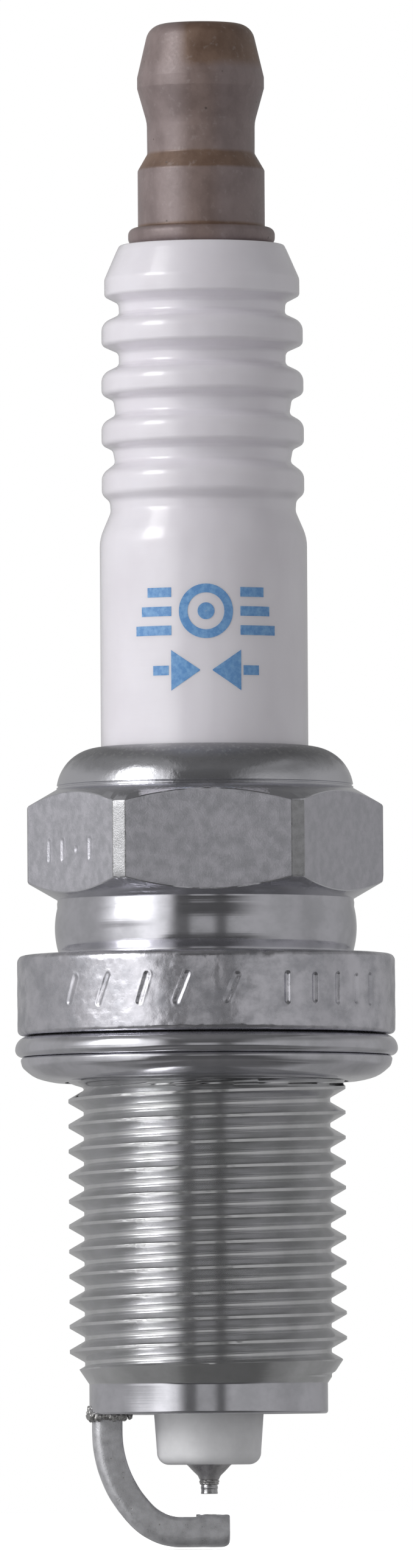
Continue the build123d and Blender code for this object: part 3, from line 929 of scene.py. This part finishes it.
def uneven(angle, r, z):
    """The outer beads of the folded sheet aren't quite round."""
    x, y = math.cos(angle) * 9, math.sin(angle) * 9
    amount = 0.02 if r > 8 and z > 0.15 else 0.0
    return r + amount * (rough(x, y, z, 2.6, 0.2) - 0.3), z


washer = Shape()
washer.lathe(thicken(strip, sheet_half), 240, 0, True, uneven)
washer.make("gasket_ring", [SHEET], "gasket", ["gasket"], 40)

# ------------------------------------------------ centre electrode and tip

core = Shape()
core.lathe(
    [(0.62, 0.60), (1.0, 0.60), (1.0, -0.25), (1.80, -0.25), (1.80, -1.11), (1.17, -1.74)]
    + rounded(
        [
            (1.17, -1.74, 0), (1.17, -19.06, 0.05), (1.06, -19.14, 0.05), (0.80, -19.42, 0.6),
            (0.57, -19.64, 0.3), (0.47, -19.86, 0.05), (0.41, -19.86, 0),
        ]
    )
    + [(0.41, -19.45), (NEAR_AXIS, -19.45), (NEAR_AXIS, -18.1), (0.62, -17.6)],
    128,
    0,
    True,
)
core.make("electrode_sheath", [WIRE], "plug", ["centre_electrode"])


def beaded(angle, r, z):
    """Overlapping laser shots make a scalloped bead."""
    return r + (0.012 * math.sin(9 * angle + 40 * z) if r > 0.42 else 0.0), z


bead = Shape()
bead.lathe(
    rounded(
        [
            (0.415, -19.865, 0), (0.48, -19.865, 0.03), (0.50, -19.95, 0.03), (0.46, -20.01, 0.02),
            (0.475, -20.06, 0.02), (0.415, -20.10, 0),
        ],
        12,
    ),
    72,
    0,
    True,
    beaded,
)
bead.make("tip_weld_bead", [FLASH], "plug", ["tip_weld"])

tip_root, tip_end = -19.46, -20.55
tip = Shape()
tip.lathe(
    solid(
        [
            (0.2, tip_root, 0), (0.405, tip_root, 0.02), (0.405, -20.14, 0), (0.425, -20.19, 0.02),
            (0.425, -20.27, 0.02), (0.405, -20.32, 0.02), (0.41, -20.44, 0.02), (0.425, -20.53, 0.02),
            (0.40, tip_end, 0.01), (0.1, tip_end, 0),
        ],
        15,
    ),
    72,
)
tip.make("fine_wire_tip", [NOBLE], "plug", ["iridium_tip"])

# ------------------------------------------------ ground electrode

thick, wide = 1.46, 2.6
leg_x = -5.07
strap_end, end_round, end_edge = 1.00, 0.40, 0.07
pad_x, pad_rise = -0.70, 0.105


def strap_line():
    """Centre line of the strap as (x, z, direction) points, in the plane y = 0."""
    x, z, heading = leg_x, shell_end, -90.0
    out = [(x, z, heading)]

    def straight(length, count):
        nonlocal x, z
        for _ in range(count):
            x += math.cos(math.radians(heading)) * length / count
            z += math.sin(math.radians(heading)) * length / count
            out.append((x, z, heading))

    def bend(radius, sweep, count):
        nonlocal x, z, heading
        for _ in range(count):
            chord = 2 * radius * math.sin(math.radians(sweep / count / 2))
            heading += sweep / count / 2
            x += math.cos(math.radians(heading)) * chord
            z += math.sin(math.radians(heading)) * chord
            heading += sweep / count / 2
            out.append((x, z, heading))

    straight(0.86, 6)
    bend(5.98, 45, 26)
    bend(2.7, 45, 18)
    straight(strap_end - end_round - x, 14)
    return out


def strap_section(shrink=0.0, lift=0.0):
    """Rounded rectangle as (outward offset, y): outer corners rounder than the inner ones."""
    h, w = thick / 2 - shrink, wide / 2 - shrink
    crown, inner_round, outer_round = 0.03, 0.20, 0.52
    outer = h - lift
    corners = [
        (-h, w, inner_round), (-h - crown, 0, 0), (-h, -w, inner_round), (0, -w - crown, 0),
        (outer, -w, outer_round), (outer + crown, 0, 0), (outer, w, outer_round), (0, w + crown, 0),
    ]
    ring_points = rounded([corners[-1]] + corners + [corners[0]], 15)
    return ring_points[1:-1]


def strap_row(x, z, heading, outline):
    """The section placed across the strap, slightly dented, with a raised pad inside its end."""
    nx, nz = math.sin(math.radians(heading)), -math.cos(math.radians(heading))
    row = []
    for out, y in outline:
        px, pz = x + nx * out, z + nz * out
        dent = 0.012 * rough(px, y, pz, 0.7, 3.0)
        if out < 0 and heading > -1:
            rise = min(1.0, max(0.0, (px - pad_x) / 0.14))
            dent -= rise * (pad_rise + 0.04 * rough(px, y, 0, 0.35, 1.0))
        row.append((px + nx * dent, y + dent * (1 if y > 0 else -1), pz + nz * dent))
    return (list(range(len(outline))), row)


line = strap_line()
section = strap_section()
rows = [strap_row(*place, section) for place in line]
x, z, heading = line[-1]
for left in (0.32, 0.25, 0.18, 0.12, 0.07, 0.03, 0.01, 0.0):
    lift = end_round - math.sqrt(end_round**2 - (end_round - left) ** 2)
    shrink = end_edge - math.sqrt(end_edge**2 - max(0.0, end_edge - left) ** 2)
    rows.append(strap_row(x + end_round - left, z, heading, strap_section(shrink, 0.7 * lift)))
strap = Shape()
strap.rings(rows)
for row in (rows[0][1], rows[-1][1]):
    strap.cap(row)
strap.make("ground_strap", [NICKEL], "plug", ["ground_electrode"], 50)

chip_x, chip_r = -0.15, 0.52
chip_top = line[-1][1] + thick / 2 + 0.16
chip_low = chip_top - 0.2
chip = Shape()
chip.lathe(
    solid([(0.3, chip_top, 0), (chip_r, chip_top, 0.03), (chip_r, chip_low, 0), (0.3, chip_low, 0)]), 64
)
chip_piece = chip.make("noble_chip", [NOBLE], "plug", ["ground_chip"])
chip_piece.data.transform(Matrix.Translation((chip_x * MM, 0, 0)))

# weld flash squeezed out round the strap's root: lumps along the seam
flash = Shape()


def lump(centre, size, seed):
    """A small squashed droplet."""
    rows = []
    count, tall = 20, 12
    for i in range(1, tall):
        polar = math.pi * i / tall
        row = []
        for j in range(count):
            a = FULL * j / count
            d = Vector((math.sin(polar) * math.cos(a), math.sin(polar) * math.sin(a), math.cos(polar)))
            swell = 1 + 0.30 * noise.noise(d * 1.7 + Vector((seed, 0, 0)))
            row.append(tuple(centre[k] + d[k] * size[k] * swell for k in range(3)))
        rows.append((list(range(count)), row))
    flash.rings(rows)
    for row in (rows[0][1], rows[-1][1]):
        flash.cap(row)


edge_x, edge_y = thick / 2 + 0.10, wide / 2 + 0.10
flash_reach = pilot_r + 0.01
seam = []
for t in np.linspace(0, 1, 11):
    seam += [(edge_x * (2 * t - 1), -edge_y), (edge_x * (2 * t - 1), edge_y)]
for t in np.linspace(0.1, 0.9, 9):
    seam += [(edge_x, edge_y * (2 * t - 1)), (-edge_x, edge_y * (2 * t - 1))]
for k, (x, y) in enumerate(seam):
    wob = noise.noise(Vector((k * 1.37, 0.3, 0.7)))
    x += leg_x
    inward = min(1.0, flash_reach / math.hypot(x, y))
    place = (x * inward, y * inward, shell_end - 0.09 - 0.06 * wob)
    lump(place, (0.19 + 0.04 * wob, 0.19 + 0.03 * wob, 0.20 + 0.07 * wob), k * 0.9)
stray_lumps = (
    (-5.92, -0.55, -16.30, 0.16), (-5.90, -0.95, -16.50, 0.15),
    (-3.95, -1.30, -16.66, 0.14), (-5.98, 0.35, -16.45, 0.12),
)
for k, (x, y, z, size) in enumerate(stray_lumps):
    lump((x, y, z), (size, size, size * 1.15), 20 + k)
flash.make("weld_flash_ring", [FLASH], "plug", ["ground_weld"], 60)

# ------------------------------------------------ stage, light and camera

floor_half = 3.0
floor_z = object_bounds()[0].z - 0.1 * MM
floor_mesh = bpy.data.meshes.new("floor")
corners = [(floor_half * u, floor_half * v, floor_z) for u, v in ((-1, -1), (1, -1), (1, 1), (-1, 1))]
floor_mesh.from_pydata(corners, [], [[0, 1, 2, 3]])
floor = placed("floor", floor_mesh)
paper = Finish("paper", (0.86, 0.86, 0.86), 0.9)
paper.base(paper.mottled(paper.cloud(40, 2), 0.3, 0.7, (0.85, 0.85, 0.85), (0.87, 0.87, 0.87)))
floor_mesh.materials.append(paper.mat)
floor.visible_glossy = floor.visible_diffuse = floor.visible_shadow = False

# The world is white to the camera, and to everything else a dim studio that the metal mirrors:
# bands of light and dark round the horizon, a dark ceiling and floor, and bright panels at the left.
world = bpy.data.worlds.new("studio")
bpy.context.scene.world = world
world.use_nodes = True
w = Nodes(world.node_tree)
w.tree.nodes.clear()


def world_mix(share, a, b):
    """a where share is 0 and b where it is 1."""
    made = w.node("ShaderNodeMix", data_type="FLOAT")
    for key, value in (("Factor", share), ("A", a), ("B", b)):
        w.link(value, made.inputs[key])
    return made.outputs["Result"]


def window(value, rise, fall):
    """1 between the two ramps and 0 outside them."""
    return w.times(w.span(value, *rise, 0, 1), w.span(value, *fall, 1, 0))


direction = w.node("ShaderNodeSeparateXYZ")
w.link(w.node("ShaderNodeTexCoord").outputs["Generated"], direction.inputs[0])
dx, dy, dz = direction.outputs
steep = w.math("ABSOLUTE", dz)

# bands round the horizon: (degrees from the camera's side, level)
azimuth = w.math("ARCTAN2", dx, w.times(dy, -1.0))
bands = w.node("ShaderNodeValToRGB")
band_levels = [
    (-180, 0.38), (-150, 0.42), (-100, 0.44), (-84, 0.41), (-75, 0.50), (-66, 0.51), (-60, 0.60),
    (-50, 1.00), (-42, 1.24), (-33, 1.00), (-27, 0.40), (-23, 0.12), (-15, 0.11), (-11, 0.40),
    (3, 0.40), (6.5, 0.22), (9, 0.10), (13, 0.12), (17, 0.37), (22, 0.47), (60, 0.45), (85, 0.37),
    (105, 0.43), (130, 0.40), (150, 0.34), (180, 0.40),
]
ramp = bands.color_ramp
while len(ramp.elements) < len(band_levels):
    ramp.elements.new(0.5)
for element, (degrees, level) in zip(ramp.elements, band_levels):
    element.position = (degrees + 180) / 360
    element.color = (level, level, level, 1)
w.link(w.math("MULTIPLY_ADD", azimuth, 0.5 / math.pi, 0.5), bands.inputs["Fac"])

# a dark patch above and below the camera, which widens downwards
widening = w.times(w.math("MINIMUM", dz, 0.0), 0.6)
patch = w.times(
    w.span(w.math("SUBTRACT", dx, widening), -0.47, -0.30, 0, 1),
    w.span(w.math("ADD", dx, widening), 0.22, 0.72, 1, 0),
)
patch = w.times(patch, w.span(dy, -0.2, 0.3, 1, 0))
dark = w.times(w.span(steep, 0.15, 0.28, 0, 1), patch)
dim = world_mix(dark, bands.outputs["Color"], w.span(steep, 0.3, 0.7, 0.06, 0.15))
dim = w.times(dim, w.span(dz, 0.3, 0.7, 1, 0.55))

# ceiling and floor: dark in line with the camera, lighter at the sides and low behind
sideways = w.math("DIVIDE", dx, w.math("MAXIMUM", steep, 0.3))
beside = w.math("MAXIMUM", w.span(sideways, -0.44, -0.24, 1, 0), w.span(sideways, 0.56, 0.84, 0, 1))
behind_low = w.times(w.span(dz, -0.1, 0.1, 1, 0), w.span(dy, 0.1, 0.5, 0, 1))
pole = w.math("MAXIMUM", w.span(beside, 0, 1, 0.12, 0.31), w.span(behind_low, 0, 1, 0.13, 0.46))
calm = world_mix(w.span(steep, 0.55, 0.85, 0, 1), dim, pole)
calm = w.times(calm, w.span(dz, -0.45, -0.2, 0.78, 1))

# the key panel at the left, its glow on the floor, and the bright window in it
key_strength, glow_strength, window_strength = 1.2, 0.5, 4.6
key_up = w.times(window(dz, (0.035, 0.16), (0.45, 0.80)), key_strength)
key_down = w.times(window(dz, (-0.52, -0.20), (-0.05, 0.01)), glow_strength)
key = w.times(window(azimuth, (-1.70, -1.15), (-1.0, -0.62)), w.math("ADD", key_up, key_down))
leaning = w.math("ADD", azimuth, w.times(w.math("MAXIMUM", w.math("SUBTRACT", dz, 0.3), 0.0), 0.14))
pane = w.times(window(leaning, (-1.36, -1.22), (-0.92, -0.78)), window(dz, (0.17, 0.26), (0.50, 0.80)))
key = w.math("ADD", key, w.times(pane, window_strength))

backdrop, studio = w.node("ShaderNodeBackground"), w.node("ShaderNodeBackground")
for sky in (backdrop, studio):
    sky.inputs["Color"].default_value = (1, 1, 1, 1)
w.link(w.math("ADD", calm, key), studio.inputs["Strength"])
choice = w.node("ShaderNodeMixShader")
w.link(w.node("ShaderNodeLightPath").outputs["Is Camera Ray"], choice.inputs[0])
w.link(studio.outputs[0], choice.inputs[1])
w.link(backdrop.outputs[0], choice.inputs[2])
w.link(choice.outputs[0], w.node("ShaderNodeOutputWorld").inputs[0])

# lights: the sun brightens only the floor, and the panels only the matt side of the finishes
sun_data = bpy.data.lights.new("floor_wash", "SUN")
sun_data.energy = 5.0
sun_data.angle = math.radians(120)
wash = placed("floor_wash", sun_data)
wash.visible_glossy = False
floor_only = bpy.data.collections.new("floor_only")
floor_only.objects.link(floor)
wash.light_linking.receiver_collection = floor_only

lamp_distance = 0.7
lamp_target = Vector((0, 0, 0.015))
for name, degrees, height, size, power in (
    ("soft_left", -88, 0.10, 0.5, 0.80),
    ("soft_low", -50, -0.35, 0.5, 0.7),
    ("fill_front", 6, 0.02, 0.5, 0.52),
    ("fill_right", 95, 0.05, 0.6, 0.55),
    ("fill_back", 180, 0.10, 0.6, 1.2),
):
    panel = bpy.data.lights.new(name, "AREA")
    panel.shape = "RECTANGLE"
    panel.size, panel.size_y = size, size
    panel.energy = power
    lamp = placed(name, panel)
    a = math.radians(degrees)
    lamp.location = (lamp_distance * math.sin(a), -lamp_distance * math.cos(a), height)
    lamp.rotation_euler = (lamp_target - lamp.location).to_track_quat("-Z", "Y").to_euler()
    lamp.visible_camera = lamp.visible_glossy = False

# camera: a long lens a little to the left and below, with a slight roll
distance = 0.82
eye_z, aim = -0.021, Vector((0.00008, 0, 0.0149))
side = math.radians(-1.2)
roll = math.radians(-0.36)
seen_height = 0.0783
sensor = 36
camera_data = bpy.data.cameras.new("camera")
camera_data.sensor_width = sensor
camera_data.lens = sensor * distance / seen_height
camera_data.clip_start = 0.01
camera = placed("camera", camera_data)
camera.location = (distance * math.sin(side), -distance * math.cos(side), eye_z)
facing = (aim - camera.location).to_track_quat("-Z", "Y").to_matrix().to_4x4()
camera.rotation_euler = (facing @ Matrix.Rotation(roll, 4, "Z")).to_euler()
bpy.context.scene.camera = camera
bpy.context.scene.view_settings.view_transform = "Standard"
